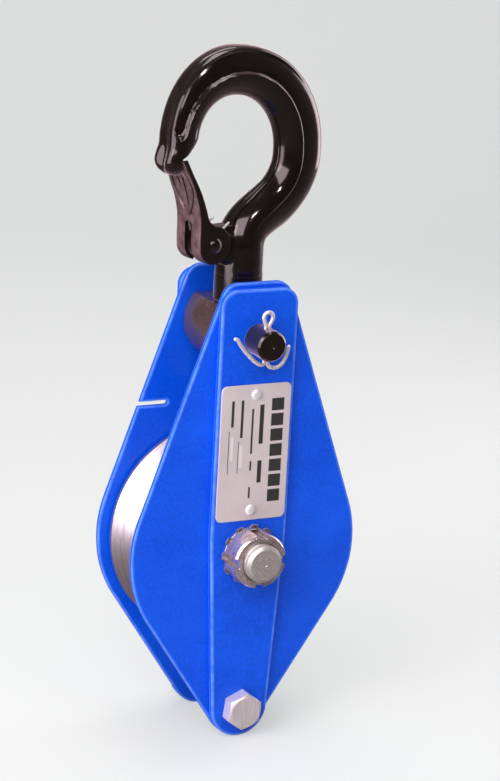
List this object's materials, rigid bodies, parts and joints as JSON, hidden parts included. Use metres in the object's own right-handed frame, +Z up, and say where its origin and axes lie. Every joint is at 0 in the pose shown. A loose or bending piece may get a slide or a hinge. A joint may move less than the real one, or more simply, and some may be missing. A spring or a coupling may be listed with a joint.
{
  "type": "crane hook block",
  "caption": "Hook block with strapped cheek plates around a grooved rope sheave, a tilting trunnion yoke and a swivelling forged hook with a spring latch.",
  "frame": {"origin": "centre of the sheave, on the axle axis midway between the cheek plates", "axes": "+Z up from the axle to the hook, -Y out of the nameplate side along the axle, +X to the right seen from the nameplate side"},
  "size_m": [0.128, 0.0935, 0.3646],
  "materials": {
    "blue_paint": "gloss enamel over plate with slight orange peel",
    "hook_finish": "gloss brown-black enamel over a forging",
    "yoke_finish": "semi-gloss brown-black enamel over a machined block",
    "latch_finish": "dark purplish-brown lacquer over pressed sheet",
    "sheave_metal": "turned and zinc plated, fine circular marks",
    "axle_metal": "turned steel",
    "nut_metal": "zinc plated, slightly speckled",
    "washer_metal": "zinc plated sheet",
    "pin_wire": "bright zinc plated wire",
    "bolt_metal": "zinc plated, fine brushed marks",
    "spacer_steel": "plain drawn tube",
    "hook_hardware": "oiled machined steel",
    "spring_steel": "drawn spring wire",
    "bronze": "oiled bearing bronze",
    "nameplate_metal": "satin sheet",
    "rivet_metal": "bright drive rivets"
  },
  "bodies": {
    "hook": {"hook": "hook_finish", "hook_nut": "hook_hardware", "hook_nut_pin": "hook_hardware", "latch_pin": "hook_hardware", "latch_spring": "spring_steel"},
    "latch": {"latch": "latch_finish"},
    "yoke": {"yoke": "yoke_finish", "hook_thrust_washer": "hook_hardware", "trunnion_split_pins": "pin_wire"},
    "side_frame": {"front_cheek": "blue_paint", "front_strap": "blue_paint", "rear_cheek": "blue_paint", "rear_strap": "blue_paint", "sheave_thrust_washers": "bronze", "axle": "axle_metal", "tab_washer": "washer_metal", "axle_nut": "nut_metal", "bottom_bolt": "bolt_metal", "bottom_spacer": "spacer_steel", "bottom_washer": "bolt_metal", "bottom_nut": "bolt_metal", "nameplate": "nameplate_metal", "nameplate_rivets": "rivet_metal"},
    "sheave": {"sheave": "sheave_metal", "sheave_bush": "bronze"}
  },
  "joints": [
    {"name": "hook_swivel", "type": "hinge", "parent": "hook", "child": "yoke", "pos_m": [0, 0, 0.1146], "axis": [0, 0, 1], "continuous": true},
    {"name": "block_tilt", "type": "hinge", "parent": "yoke", "child": "side_frame", "pos_m": [0, 0, 0.1146], "axis": [0, 1, 0], "range_deg": [-30, 30]},
    {"name": "sheave_spin", "type": "hinge", "parent": "side_frame", "child": "sheave", "pos_m": [0, 0, 0], "axis": [0, 1, 0], "continuous": true},
    {"name": "latch_open", "type": "hinge", "parent": "hook", "child": "latch", "pos_m": [-0.02338, -0.0054, 0.1615], "axis": [-0.225, 0.9744, 0], "range_deg": [0, 45], "stiffness_Nm_per_rad": 0.05}
  ]
}
